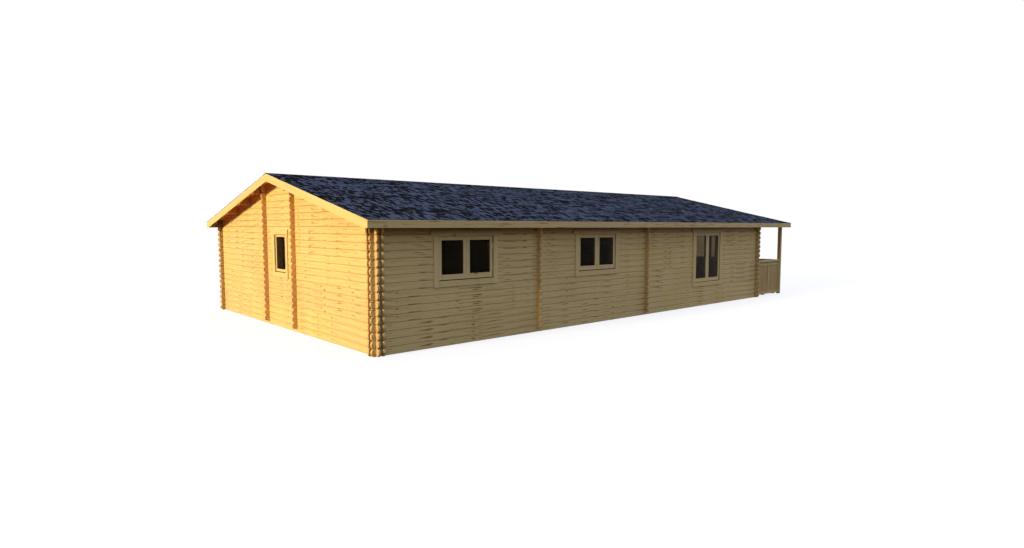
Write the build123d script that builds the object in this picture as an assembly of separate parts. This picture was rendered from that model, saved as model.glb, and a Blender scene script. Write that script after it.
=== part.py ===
"""Log cabin with twin-skin log walls, a low gable roof and an open veranda.

Millimetres. +Z is up, the veranda gable faces -Y, and left and right are as seen by
someone standing in front of it: left is -X, right is +X. The origin is the centre of the
roof's plan, on the ground.
"""
from build123d import *
import math
import os

os.makedirs("parts", exist_ok=True)

# ---- driving dimensions -------------------------------------------------------------
house_width = 8000          # over the outer log skins, along X
house_length = 13110        # over the outer log skins, along Y
veranda_depth = 1604        # from the front wall to the front of the posts
rear_overhang = 266         # roof past the rear wall
eave_overhang = 268         # roof past the side walls

log_height = 135            # one course
log_thickness = 44
cavity = 52                 # between the two skins of an outer wall
wall_courses = 17           # courses up to the eaves
groove_depth = 9            # V between two courses
log_end = 85                # log ends past the face of the wall that they cross
inner_log_end = 105         # the same for the inner walls
end_notch = 30              # rounding of each log end, cut as a chamfer

roof_pitch = 13.08          # degrees
roof_board = 32
shingle = 10
fascia_thickness = 20
fascia_height = 130         # the eave board, below the shingles
bargeboard_width = 160      # measured upright
ridge_cap_reach = 160       # each side of the ridge
ridge_cap_thickness = 4

purlin_width = 95
purlin_height = 145
purlin_spacing = 880        # along X, from the ridge

rear_cross_from_rear = 3712     # rear face of each cross wall, from the rear wall's outer face
middle_cross_from_rear = 7375
hall_half_width = 746       # from the middle to the near face of each hall wall
partition_doorway_width = 820
partition_doorway_height = 1960

bearer_width = 95
bearer_spacing = 900
floor_board = 28

window_clear_width = 1267   # between the outside trims
window_trim = 104           # width of the boards round a window
trim_thickness = 22
head_board_thickness = 30
head_board_height = 106
head_board_reach = 65       # past the side boards
rear_head_board_reach = 40
lining = 28                 # frame inside the wall's hole
frame_stop = 30             # the frame is this much narrower all round behind the sash
sash_side_gap = 14          # between the sash and its frame
sash_foot_gap = 18
sash_head_gap = 5
sash_stile = 60
meeting_stile = 74
sash_top_rail = 72
sash_bottom_rail = 94
sash_depth = 56
sash_recess = 5             # sash behind the wall's outer face
glass_thickness = 6
glass_setback = 8           # glass behind the face of its sash
window_head = 1990          # underside of the head board, above the ground
window_sill = 1183
tall_window_sill = 645
rear_window_clear_width = 592
# centres of the side windows, from the rear wall's outer face
window_from_rear = (1902, 5592, 10232)
tall_windows = (False, False, True)
front_window_offset = 2350  # centre of each front window from the middle

door_leaf_width = 760
door_stile = 120
door_bottom_rail = 260
leaf_gap = 4                # between the two leaves of a window or the door

post_width = 95
entrance_half_width = 800   # middle to the near face of the entrance posts
railing_height = 1100
handrail_width = 95
handrail_thickness = 45
rail_thickness = 45
rail_height = 70
panel_drop = 45             # top of the framed panel below the underside of the handrail
railing_ground_gap = 50
railing_board = 18

# ---- worked out from them --------------------------------------------------------------
slope = math.tan(math.radians(roof_pitch))
half_width = house_width / 2
wall_depth = 2 * log_thickness + cavity
roof_half_length = (house_length + rear_overhang + veranda_depth + fascia_thickness) / 2
roof_half_width = half_width + eave_overhang
rear_y = roof_half_length - rear_overhang
front_y = rear_y - house_length
post_front_y = front_y - veranda_depth
wall_top = wall_courses * log_height
half_log = log_height / 2
bearer_height = half_log    # the inner walls start half a log up, on the bearers
board_rise = roof_board / math.cos(math.radians(roof_pitch))
shingle_rise = shingle / math.cos(math.radians(roof_pitch))
floor_top = bearer_height + floor_board
inner_half_width = half_width - wall_depth
rear_cross_y = rear_y - rear_cross_from_rear
middle_cross_y = rear_y - middle_cross_from_rear
BOTTOM = (Align.MIN, Align.MIN, Align.MIN)
TOP_LOG = 0.6               # the last groove stays this share of a log below the roof
PAST = 1                    # cuts run this far past the faces that they open


def underside(x):
    """Height of the underside of the roof boards at x."""
    return wall_top + (half_width - abs(x)) * slope


def slab(x0, x1, y0, y1, z0, z1):
    """Box between two corners."""
    return Pos(x0, y0, z0) * Box(x1 - x0, y1 - y0, z1 - z0, align=BOTTOM)


def anticlockwise(outline):
    """The same outline, turned if need be so that its sheet faces the way it is carried."""
    following = outline[1:] + outline[:1]
    area = sum(a[0] * b[1] - b[0] * a[1] for a, b in zip(outline, following))
    return outline if area > 0 else outline[::-1]


def prism_y(outline, y0, y1):
    """Outline in X and Z, carried from y0 to y1."""
    sheet = Plane(origin=(0, y1, 0), x_dir=(1, 0, 0), z_dir=(0, -1, 0))
    return extrude(sheet * Polygon(*anticlockwise(outline), align=None), amount=y1 - y0)


def prism_x(outline, x0, x1):
    """Outline in Y and Z, carried from x0 to x1."""
    sheet = Plane(origin=(x0, 0, 0), x_dir=(0, 1, 0), z_dir=(1, 0, 0))
    return extrude(sheet * Polygon(*anticlockwise(outline), align=None), amount=x1 - x0)


def upright(along, outline, across0, across1):
    """Outline in the wall's own length and height, as thick as across0 to across1."""
    if along == "x":
        return prism_y(outline, across0, across1)
    return prism_x(outline, across0, across1)


def section(along, outline, start, end):
    """Outline in the wall's thickness and height, carried along the wall."""
    if along == "x":
        return prism_x(outline, start, end)
    return prism_y(outline, start, end)


def block(along, start, end, across0, across1, z0, z1):
    """Box given along and across a wall."""
    if along == "x":
        return slab(start, end, across0, across1, z0, z1)
    return slab(across0, across1, start, end, z0, z1)


def above_roof():
    """Everything above the underside of the roof boards."""
    reach = roof_half_width + house_width
    high = underside(0) + house_width
    outline = [(-reach, underside(reach)), (0, underside(0)), (reach, underside(reach)),
               (reach, high), (-reach, high)]
    return prism_y(outline, -2 * roof_half_length, 2 * roof_half_length)


def scalloped_end(edge, inward, bottom, courses):
    """Points up one end of a wall: each log end with its two corners taken off."""
    points = []
    for course in range(courses):
        low = bottom + course * log_height
        points.append((edge + inward * end_notch, low))
        points.append((edge, low + end_notch))
        points.append((edge, low + log_height - end_notch))
    return points


def log_skin(along, ends, faces, bottom, laps, grooved, holes=(), scalloped=(True, True)):
    """One skin of stacked logs, up to the roof.

    ends are its two ends along the wall and faces its two faces. laps are the stretches
    where other walls cross it, each with what is taken out there for their logs: the
    "upper" or "lower" half of every log, or "all". grooved are the faces with a V between
    courses, and holes are cut through it, given as (start, end, low, high).
    """
    start, end = ends
    if along == "x":
        wall_high = underside(0)
        end_high = underside(end)
    else:
        wall_high = min(underside(face) for face in faces)
        end_high = wall_high
    high = underside(0) + log_height
    end_courses = round((end_high - bottom) / log_height - TOP_LOG)
    left = [(start, bottom), (start, high)]
    right = [(end, bottom), (end, high)]
    if scalloped[0]:
        left = scalloped_end(start, 1, bottom, end_courses) + [(start, high)]
    if scalloped[1]:
        right = scalloped_end(end, -1, bottom, end_courses) + [(end, high)]
    skin = upright(along, right + left[::-1], *faces)
    cuts = [above_roof()]
    for course in range(1, round((wall_high - bottom) / log_height - TOP_LOG) + 1):
        z = bottom + course * log_height
        for face in grooved:
            out = -1 if face == faces[0] else 1
            mouth = face + out * PAST
            notch = [(mouth, z - groove_depth - PAST), (face - out * groove_depth, z),
                     (mouth, z + groove_depth + PAST)]
            cuts.append(section(along, notch, start - PAST, end + PAST))
    through = (faces[0] - PAST, faces[1] + PAST)
    for lap_start, lap_end, half in laps:
        if half == "all":
            cuts.append(block(along, lap_start, lap_end, *through, -PAST, high))
            continue
        for course in range(math.ceil(wall_high / log_height)):
            z = course * log_height + (half_log if half == "upper" else 0)
            if z + half_log > bottom:
                cuts.append(block(along, lap_start, lap_end, *through, z, z + half_log))
    for hole_start, hole_end, low, up in holes:
        cuts.append(block(along, hole_start, hole_end, *through, low, up))
    return skin - cuts


def export(name, shape):
    """Write one node, whatever build123d returned for it."""
    bodies = shape if isinstance(shape, (list, tuple)) else [shape]
    solids = [solid for body in bodies for solid in body.solids()]
    body = solids[0] if len(solids) == 1 else Compound(children=solids)
    body.label = name
    export_step(body, f"parts/{name}.step")


# ---- walls -----------------------------------------------------------------------------
SIDES = {
    "left": ("y", -half_width, -1),
    "right": ("y", half_width, 1),
    "rear": ("x", rear_y, 1),
    "front": ("x", front_y, -1),
}


def facing(side, start, end, inner, outer, z0, z1):
    """Box on a wall: inner and outer are measured outwards from its outer face."""
    along, face, out = SIDES[side]
    a, b = sorted((face + out * inner, face + out * outer))
    return block(along, start, end, a, b, z0, z1)


def skin_faces(side, which):
    """The two faces of the outer or inner skin, low side first."""
    along, face, out = SIDES[side]
    depth = 0 if which == "outer" else wall_depth - log_thickness
    return sorted((face - out * depth, face - out * (depth + log_thickness)))


def window_list():
    """Each window as (side, centre along the wall, clear width, sill height)."""
    windows = []
    for side in ("left", "right"):
        for from_rear, tall in zip(window_from_rear, tall_windows):
            sill = tall_window_sill if tall else window_sill
            windows.append((side, rear_y - from_rear, window_clear_width, sill))
    windows.append(("rear", 0, rear_window_clear_width, window_sill))
    for sign in (-1, 1):
        windows.append(("front", sign * front_window_offset, window_clear_width,
                        tall_window_sill))
    return windows


door_clear_width = 2 * (door_leaf_width + sash_side_gap) + leaf_gap


def holes_in(side):
    """Holes through the logs for the windows and the door, lining included."""
    holes = []
    for where, centre, width, sill in window_list():
        if where == side:
            reach = width / 2 + lining
            holes.append((centre - reach, centre + reach, sill - lining, window_head + lining))
    if side == "front":
        reach = door_clear_width / 2 + lining
        holes.append((-reach, reach, floor_top - lining, window_head + lining))
    return holes


def band(side, start, depth):
    """A stretch of an outer wall's thickness, measured inwards from its outer face."""
    along, face, out = SIDES[side]
    return sorted((face - out * start, face - out * (start + depth)))


def skin_laps(side, which):
    """Where other walls cross this skin, and what each crossing takes out of it.

    At the corners the outer skins are half-lapped, log by log. Inner skins stop there and
    go on as log ends outside. The inner walls pass through both skins, between their logs.
    """
    if SIDES[side][0] == "y":
        half = "upper"
        others = ("rear", "front")
        inner_depth = log_thickness
        walls = [(y - log_thickness, y) for y in (rear_cross_y, middle_cross_y)]
    else:
        half = "lower"
        others = ("left", "right")
        inner_depth = wall_depth
        walls = []
        if side == "rear":
            hall = hall_half_width
            walls = [(-hall - log_thickness, -hall), (hall, hall + log_thickness)]
    if which == "inner":
        return [(*band(other, 0, inner_depth), "all") for other in others] + \
            [(*wall, "all") for wall in walls]
    return [(*band(other, 0, log_thickness), half) for other in others] + \
        [(*wall, "all") for wall in walls]


def outer_walls():
    """The four twin-skin walls."""
    for side in SIDES:
        along, face, out = SIDES[side]
        low, high = (front_y, rear_y) if along == "y" else (-half_width, half_width)
        for which in ("outer", "inner"):
            grooved = (face,) if which == "outer" else ()
            skin = log_skin(along, (low - log_end, high + log_end), skin_faces(side, which),
                            0, skin_laps(side, which), grooved, holes_in(side))
            if along == "x":
                skin -= purlin_blanks()
            export(f"{side}_wall_{which}_logs", skin)


def partitions():
    """Single-skin inner walls, whose log ends show outside."""
    door_top = floor_top + partition_doorway_height
    reach = partition_doorway_width / 2
    for name, y in (("rear", rear_cross_y), ("middle", middle_cross_y)):
        faces = (y - log_thickness, y)
        doorway = (-reach, reach, floor_top, door_top)
        reach_out = half_width + inner_log_end
        wall = log_skin("x", (-reach_out, reach_out), faces, half_log, (), (), [doorway])
        export(f"{name}_cross_wall", wall - purlin_blanks())
    hall_centre = (rear_cross_y + rear_y - wall_depth) / 2
    for name, sign in (("left", -1), ("right", 1)):
        faces = sorted((sign * hall_half_width, sign * (hall_half_width + log_thickness)))
        doorway = (hall_centre - reach, hall_centre + reach, floor_top, door_top)
        wall = log_skin("y", (rear_cross_y, rear_y + inner_log_end), faces, half_log, (), (),
                        [doorway], (False, True))
        export(f"hall_wall_{name}", wall - purlin_blanks())


# ---- roof ------------------------------------------------------------------------------
board_half_length = roof_half_length - fascia_thickness


def purlin_places():
    """Middle of each purlin along X, the ridge purlin first."""
    clear_of_beam = half_width - purlin_width / 2 - purlin_height / slope
    count = int(clear_of_beam // purlin_spacing)
    return [0] + [sign * purlin_spacing * step for sign in (-1, 1)
                  for step in range(1, count + 1)]


def purlin_base(x):
    """Height of the underside of the purlin at x."""
    return underside(abs(x) + purlin_width / 2) - purlin_height


def purlin(x):
    """One purlin, its top cut to the roof."""
    beam = slab(x - purlin_width / 2, x + purlin_width / 2, -board_half_length,
                board_half_length, purlin_base(x), underside(0) + purlin_height)
    return beam - above_roof()


def purlin_blanks():
    """What the purlins take out of the walls that carry them."""
    return [purlin(x) for x in purlin_places()]


def roof_band(sign, near, far, low, rise, y0, y1):
    """A slab that follows one slope, from near to far of the ridge, above the underside."""
    outline = [(sign * near, underside(near) + low), (sign * far, underside(far) + low),
               (sign * far, underside(far) + low + rise),
               (sign * near, underside(near) + low + rise)]
    return prism_y(outline, y0, y1)


def roof():
    """Purlins, boards, eave boards, gable boards, shingles and ridge cap."""
    places = purlin_places()
    export("ridge_purlin", purlin(0))
    board_end = roof_half_width - fascia_thickness
    fascia_low = underside(roof_half_width) + board_rise - fascia_height
    for name, sign in (("left", -1), ("right", 1)):
        export(f"purlins_{name}", [purlin(x) for x in places if x * sign > 0])
        export(f"roof_boards_{name}", roof_band(sign, 0, board_end, 0, board_rise,
                                                -board_half_length, board_half_length))
        export(f"shingles_{name}", roof_band(sign, 0, roof_half_width, board_rise,
                                             shingle_rise, -roof_half_length,
                                             roof_half_length))
        top_out = underside(roof_half_width) + board_rise
        top_in = underside(board_end) + board_rise
        eave = [(sign * board_end, fascia_low), (sign * roof_half_width, fascia_low),
                (sign * roof_half_width, top_out), (sign * board_end, top_in)]
        export(f"eave_board_{name}", prism_y(eave, -board_half_length, board_half_length))
        peak = underside(0) + board_rise
        level = (bargeboard_width - (peak - fascia_low)) / -slope
        gable = [(0, peak - bargeboard_width), (sign * level, fascia_low),
                 (sign * roof_half_width, fascia_low), (sign * roof_half_width, top_out),
                 (0, peak)]
        export(f"rear_bargeboard_{name}", prism_y(gable, board_half_length, roof_half_length))
        export(f"front_bargeboard_{name}",
               prism_y(gable, -roof_half_length, -board_half_length))
    low = board_rise + shingle_rise
    cap = [(-ridge_cap_reach, underside(ridge_cap_reach) + low), (0, underside(0) + low),
           (ridge_cap_reach, underside(ridge_cap_reach) + low),
           (ridge_cap_reach, underside(ridge_cap_reach) + low + ridge_cap_thickness),
           (0, underside(0) + low + ridge_cap_thickness),
           (-ridge_cap_reach, underside(ridge_cap_reach) + low + ridge_cap_thickness)]
    export("ridge_cap", prism_y(cap, -roof_half_length, roof_half_length))


# ---- windows and door --------------------------------------------------------------------
sash_back = -sash_recess - sash_depth


def frame_of(side, centre, clear, low, high, sill_board, head_reach):
    """Rebated frame through the wall, fused with the boards round it on the outer face."""
    half = clear / 2
    board = half + window_trim
    ring = facing(side, centre - half - lining, centre + half + lining, -wall_depth, 0,
                  low - lining, high + lining)
    board_low = low - window_trim if sill_board else low
    ring += facing(side, centre - board, centre + board, 0, trim_thickness, board_low, high)
    ring += facing(side, centre - board - head_reach, centre + board + head_reach, 0,
                   head_board_thickness, high, high + head_board_height)
    ring -= facing(side, centre - half, centre + half, sash_back, wall_depth, low, high)
    inner = half - frame_stop
    return ring - facing(side, centre - inner, centre + inner, -2 * wall_depth, wall_depth,
                         low + frame_stop, high - frame_stop)


def sash_of(side, start, end, left_stile, right_stile, low, high, bottom_rail):
    """One sash and its pane, between start and end in a frame from low to high."""
    foot = low + sash_foot_gap
    top = high - sash_head_gap
    sash = facing(side, start, end, sash_back, -sash_recess, foot, top)
    pane = (start + left_stile, end - right_stile)
    pane_low = foot + bottom_rail
    pane_high = top - sash_top_rail
    hole = facing(side, *pane, sash_back - PAST, PAST, pane_low, pane_high)
    face = -sash_recess - glass_setback
    glass = facing(side, *pane, face - glass_thickness, face, pane_low, pane_high)
    return sash - hole, glass


def windows_on(side):
    """Frames, sashes and panes of one wall's windows, as three lists."""
    frames, sashes, panes = [], [], []
    for where, centre, clear, sill in window_list():
        if where != side:
            continue
        single = side == "rear"
        head_reach = rear_head_board_reach if single else head_board_reach
        frames.append(frame_of(side, centre, clear, sill, window_head, True, head_reach))
        half = clear / 2 - sash_side_gap
        middle = leaf_gap / 2
        if single:
            leaves = [(centre - half, centre + half, sash_stile, sash_stile)]
        else:
            leaves = [(centre - half, centre - middle, sash_stile, meeting_stile),
                      (centre + middle, centre + half, meeting_stile, sash_stile)]
        for start, end, left_stile, right_stile in leaves:
            sash, glass = sash_of(side, start, end, left_stile, right_stile, sill,
                                  window_head, sash_bottom_rail)
            sashes.append(sash)
            panes.append(glass)
    return frames, sashes, panes


def windows():
    """All windows, and the glazed double door of the front wall."""
    for side in SIDES:
        frames, sashes, panes = windows_on(side)
        export(f"{side}_window_frames" if len(frames) > 1 else f"{side}_window_frame", frames)
        export(f"{side}_window_sashes" if len(sashes) > 1 else f"{side}_window_sash", sashes)
        export(f"{side}_window_glass", panes)
    export("front_door_frame", frame_of("front", 0, door_clear_width, floor_top, window_head,
                                        False, head_board_reach))
    half = door_clear_width / 2 - sash_side_gap
    leaves = (("left", -half, -leaf_gap / 2), ("right", leaf_gap / 2, half))
    panes = []
    for name, start, end in leaves:
        leaf, glass = sash_of("front", start, end, door_stile, door_stile, floor_top,
                              window_head, door_bottom_rail)
        export(f"front_door_{name}_leaf", leaf)
        panes.append(glass)
    export("front_door_glass", panes)


# ---- floor -------------------------------------------------------------------------------
def rooms():
    """Plan of each room as (x0, x1, y0, y1), between the log faces."""
    edge = inner_half_width
    rear_in = rear_y - wall_depth
    front_in = front_y + wall_depth
    hall = hall_half_width
    return [
        (-edge, -hall - log_thickness, rear_cross_y, rear_in),
        (-hall, hall, rear_cross_y, rear_in),
        (hall + log_thickness, edge, rear_cross_y, rear_in),
        (-edge, edge, middle_cross_y, rear_cross_y - log_thickness),
        (-edge, edge, front_in, middle_cross_y - log_thickness),
    ]


def floor():
    """Bearers on the ground and a boarded floor in each room."""
    first = front_y + wall_depth
    last = rear_y - wall_depth - bearer_width
    under_walls = [rear_cross_y - (log_thickness + bearer_width) / 2,
                   middle_cross_y - (log_thickness + bearer_width) / 2]
    bays = math.ceil((last - first) / bearer_spacing)
    places = [first + (last - first) * bay / bays for bay in range(bays + 1)]
    places = [y for y in places
              if all(abs(y - wall) > 2 * bearer_width for wall in under_walls)]
    bearers = [slab(-inner_half_width, inner_half_width, y, y + bearer_width, 0, bearer_height)
               for y in places + under_walls]
    export("floor_bearers", bearers)
    export("floor_boards", [slab(*room, bearer_height, floor_top) for room in rooms()])


# ---- veranda -----------------------------------------------------------------------------
post_back_y = post_front_y + post_width
half_post = post_width / 2
beam_low = wall_top - purlin_height


def post_places():
    """Low X side of each post."""
    outer = half_width - post_width
    return [-half_width, -entrance_half_width - post_width, entrance_half_width, outer]


def veranda():
    """Posts, beams, struts under the purlins, deck and railings."""
    posts = [slab(x, x + post_width, post_front_y, post_back_y, 0, beam_low)
             for x in post_places()]
    export("veranda_posts", posts)
    inner_x = half_width - post_width
    export("veranda_front_beam", slab(-inner_x, inner_x, post_front_y, post_back_y,
                                      beam_low, wall_top))
    for name, x in (("left", -half_width), ("right", inner_x)):
        beam = slab(x, x + post_width, post_front_y, front_y - log_end, beam_low,
                    wall_top + purlin_height)
        export(f"veranda_side_beam_{name}", beam - above_roof())
    struts = [slab(x - post_width / 2, x + post_width / 2, post_front_y, post_back_y,
                   wall_top, purlin_base(x)) for x in purlin_places()]
    export("gable_struts", struts)
    edge = inner_half_width
    last_bearer = front_y - bearer_width
    rows = [post_back_y, (post_back_y + last_bearer) / 2, last_bearer]
    bearers = [slab(-edge, edge, y, y + bearer_width, 0, bearer_height) for y in rows]
    door_step = (-entrance_half_width, entrance_half_width, post_front_y)
    export("veranda_bearers", bearers + [slab(*door_step, post_front_y + half_post, 0,
                                              bearer_height)])
    deck = slab(-edge, edge, post_back_y, front_y, bearer_height, floor_top)
    deck += slab(*door_step, post_back_y, bearer_height, floor_top)
    export("veranda_deck", deck)


def railing(along, start, end, low_face, high_face):
    """Framed panel of boards under a handrail, between start and end."""
    middle = (low_face + high_face) / 2
    under = railing_height - handrail_thickness
    panel_top = under - panel_drop
    face0 = middle - rail_thickness / 2
    face1 = middle + rail_thickness / 2
    low = railing_ground_gap
    frame = block(along, start, end, face0, face1, low, panel_top)
    stile = rail_height
    centre = (start + end) / 2
    for a, b in ((start + stile, centre - stile / 2), (centre + stile / 2, end - stile)):
        frame -= block(along, a, b, face0 - PAST, face1 + PAST, low + rail_height,
                       panel_top - rail_height)
    board0 = middle - railing_board / 2
    frame += block(along, start, end, board0, board0 + railing_board, low, under)
    for a, b in ((start, start + stile), (centre - stile / 2, centre + stile / 2),
                 (end - stile, end)):
        frame += block(along, a, b, face0, face1, panel_top, under)
    frame += block(along, start, end, low_face, high_face, under, railing_height)
    return frame


def railings():
    """Side and front railings, between the posts and the house."""
    for name, x0 in (("left", -half_width), ("right", half_width - post_width)):
        export(f"side_railing_{name}", railing("y", post_back_y, front_y - log_end,
                                               x0, x0 + handrail_width))
    places = post_places()
    for name, a, b in (("left", places[0], places[1]), ("right", places[2], places[3])):
        export(f"front_railing_{name}", railing("x", a + post_width, b,
                                                post_front_y, post_front_y + handrail_width))


outer_walls()
partitions()
roof()
windows()
floor()
veranda()
railings()
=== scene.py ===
import math
import random

import bmesh
import bpy
from mathutils import Matrix, Vector


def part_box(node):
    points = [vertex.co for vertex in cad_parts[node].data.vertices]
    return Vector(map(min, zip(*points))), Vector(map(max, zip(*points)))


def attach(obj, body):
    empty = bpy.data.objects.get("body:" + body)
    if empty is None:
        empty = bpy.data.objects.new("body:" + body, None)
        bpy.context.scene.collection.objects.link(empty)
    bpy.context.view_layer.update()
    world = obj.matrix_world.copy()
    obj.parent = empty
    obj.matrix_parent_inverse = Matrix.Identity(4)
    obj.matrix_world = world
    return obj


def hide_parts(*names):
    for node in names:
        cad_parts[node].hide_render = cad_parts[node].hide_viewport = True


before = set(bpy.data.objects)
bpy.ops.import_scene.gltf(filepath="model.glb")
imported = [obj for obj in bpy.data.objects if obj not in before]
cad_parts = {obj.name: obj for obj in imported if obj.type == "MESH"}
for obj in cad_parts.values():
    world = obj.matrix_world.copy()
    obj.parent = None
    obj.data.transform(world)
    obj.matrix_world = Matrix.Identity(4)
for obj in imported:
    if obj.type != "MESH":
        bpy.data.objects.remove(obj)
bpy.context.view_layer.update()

random.seed(7)
X, Y, Z = 0, 1, 2

# ---- sizes ------------------------------------------------------------------------------
LOG = 0.135                 # height of one course
GROOVE = 0.009              # chamfer along each log, half of the V between two
END_ROUND = 0.058           # rounding of the log ends, seen from the side
END_STEPS = 5               # facets of that rounding
TOP_LOG = 0.6               # a last log lower than this share is one with the log below
SLIVER = 0.02               # a hole that stops this close to a joint takes the whole log
WALL_COURSES = 17
DOORWAY = 0.410             # half the width of a doorway between two rooms
DOORWAY_HEIGHT = 1.960      # above the floor

PITCH = math.radians(13.08)
ROOF_BOARD = 0.032
ROOF_BOARD_WIDTH = 0.12
ROOF_BOARD_V = 0.0035       # chamfer of each board, half of the V between two
SHINGLE_LAYERS = 0.010      # felt and shingles together
SHINGLE_EXPOSURE = 0.145
SHINGLE_SHEET = 0.0026      # one thickness of shingle
SHINGLE_TILT = 0.85 * SHINGLE_SHEET         # lift of the lower edge
SHINGLE_WIDTHS = (0.12, 0.34)
SHINGLE_LAP = 0.012         # how far a shingle runs up under the next course
SHORTEST_SHINGLE = 0.03     # less than this is left bare under the ridge cap
DOUBLED = 0.5               # share of the shingles with a second layer
RAGGED = 0.004              # how far the lower edges stray
UNDERLAY = 0.002
CAP_EXPOSURE = 0.25
CAP_LENGTH = 1.15           # length of a cap shingle, in exposures
CAP_SHEET = 0.0022
CAP_SUNK = 0.0005           # the caps press this far into the shingles
CAP_STEP = 0.0012           # every other cap lies this much higher

LINING = 0.028
TRIM = 0.022                # thickness of the boards round a window
TRIM_WIDTH = 0.104
TRIM_FOOT = 0.006           # the side boards run this far past the sill board
HEAD_BOARD = 0.030
HEAD_HEIGHT = 0.106
HEAD_REACH = 0.065          # past the side boards
REAR_HEAD_REACH = 0.040
FRAME_STOP = 0.030          # the frame is this much narrower all round behind the sash
SIDE_GAP = 0.014            # between a sash and its frame
FOOT_GAP = 0.018
HEAD_GAP = 0.005
SASH_RECESS = 0.005
SASH = 0.056
STILE = 0.060
MEETING_STILE = 0.074
TOP_RAIL = 0.072
BOTTOM_RAIL = 0.094
REAR_STILE = 0.045          # the small rear window has a slimmer sash
REAR_TOP_RAIL = 0.045
REAR_BOTTOM_RAIL = 0.055
LEAF_GAP = 0.004
GLASS_SETBACK = 0.008
PANE = 0.006
BEAD = 0.014
SEAL = 0.004
SEAL_FRONT, SEAL_BACK = -0.012, -0.024      # strip that closes the gap round a sash
WINDOW_HEAD = 1.990
LOW_SILL = 0.645
HIGH_SILL = 1.183
CLEAR = 1.267               # between the two sides of a frame
REAR_CLEAR = 0.592
WINDOWS_FROM_REAR = ((1.902, HIGH_SILL), (5.592, HIGH_SILL), (10.232, LOW_SILL))
FRONT_WINDOW_OFFSET = 2.350                 # from the middle of the gable
DOOR_LEAF = 0.760
DOOR_STILE = 0.120
DOOR_BOTTOM_RAIL = 0.260

SCREW_PAIR = 0.028          # half the distance between two screws side by side
SCREW_INSET = 0.05          # from the end of a board
SCREW_HEAD = 0.004          # its radius
SCREW_SIDES = 8
SCREW_SUNK, SCREW_PROUD = 0.002, 0.001
HINGE = 0.006               # radius of the barrel
HINGE_HALF = 0.04           # half its length
HINGE_INSET = 0.2           # from the sill and the head of a window
DOOR_HINGE_INSET = 0.25
DOOR_MIDDLE_HINGE = 1.0     # above the floor
PLATE_HALF = 0.016          # half the width of a handle's plate
PLATE_THICK = 0.006
PLATE_BELOW, PLATE_ABOVE = 0.7, 0.3         # shares of the plate below and above the lever
WINDOW_PLATE = 0.07
DOOR_PLATE = 0.24
LEVER = 0.009               # radius of the lever and its neck
NECK_START, NECK_END = 0.004, 0.046         # off the face of the sash
LEVER_OFF = 0.040
WINDOW_LEVER = (0.0, -0.11)                 # where the lever goes, along the wall and up
DOOR_LEVER = (0.12, 0.0)
DOOR_HANDLE_HEIGHT = 1.05   # above the floor

FLOOR_BOARD_WIDTH = 0.095
DECK_BOARD_WIDTH = 0.120
DECK_GAP = 0.006
POST = 0.095
ENTRANCE = 0.800            # half the width of the way in between the railings
RAIL_THICKNESS = 0.045
RAIL_HEIGHT = 0.070
RAILING_BOARD = 0.018
RAILING_BOARD_WIDTH = 0.088
RAILING_GROOVE = 0.010      # between two railing boards, closed by their tongues
RAILING_TONGUE = 0.005
HANDRAIL = 0.045
PANEL_DROP = 0.045          # gap between the handrail and the rail under it

BOARD_EASE = 0.003          # how far the edges of planed boards are taken off
SASH_EASE = 0.0015
RAIL_EASE = 0.002
TIMBER_EASE = 0.004
POST_EASE = 0.006
SHARP = math.radians(20)    # edges that turn more than this stay crisp
ROD_SIDES = 20
TOUCHING = 1e-4             # points closer than this line up

# ---- places, from the frame ---------------------------------------------------------------
side_low, side_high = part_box("left_wall_outer_logs")
HALF_WIDTH = -side_low.x
LOG_THICK = side_high.x - side_low.x
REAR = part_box("rear_wall_outer_logs")[1].y
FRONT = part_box("front_wall_outer_logs")[0].y
WALL_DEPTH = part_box("left_wall_inner_logs")[1].x + HALF_WIDTH
WALL_TOP = WALL_COURSES * LOG
SLOPE = math.tan(PITCH)
FLOOR_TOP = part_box("floor_boards")[1].z
ROOF_HALF_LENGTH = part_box("shingles_left")[1].y
BOARD_HALF_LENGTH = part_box("roof_boards_left")[1].y
ROOF_HALF_WIDTH = -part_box("shingles_left")[0].x
DOOR_CLEAR = 2 * (DOOR_LEAF + SIDE_GAP) + LEAF_GAP
SASH_BACK = -SASH_RECESS - SASH

SIDES = {                   # the axis a wall runs along, its outer face, and which way is out
    "left": (Y, -HALF_WIDTH, -1),
    "right": (Y, HALF_WIDTH, 1),
    "rear": (X, REAR, 1),
    "front": (X, FRONT, -1),
}


def underside(x):
    """Height of the underside of the roof boards at x."""
    return WALL_TOP + (HALF_WIDTH - abs(x)) * SLOPE


# ---- materials ----------------------------------------------------------------------------
class Value:
    """A number, vector or colour inside a material. Sums on it add Math nodes."""

    def __init__(self, finish, socket):
        self.finish, self.socket = finish, socket

    def sum(self, operation, a, b):
        return self.finish.add("Math", {0: a, 1: b}, {"operation": operation})

    def __add__(self, other):
        return self.sum("ADD", self, other)

    def __sub__(self, other):
        return self.sum("SUBTRACT", self, other)

    def __rsub__(self, other):
        return self.sum("SUBTRACT", other, self)

    def __mul__(self, other):
        return self.sum("MULTIPLY", self, other)

    def __truediv__(self, other):
        return self.sum("DIVIDE", self, other)

    def __gt__(self, other):
        return self.sum("GREATER_THAN", self, other)

    def __lt__(self, other):
        return self.sum("LESS_THAN", self, other)

    __radd__, __rmul__ = __add__, __mul__


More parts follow.
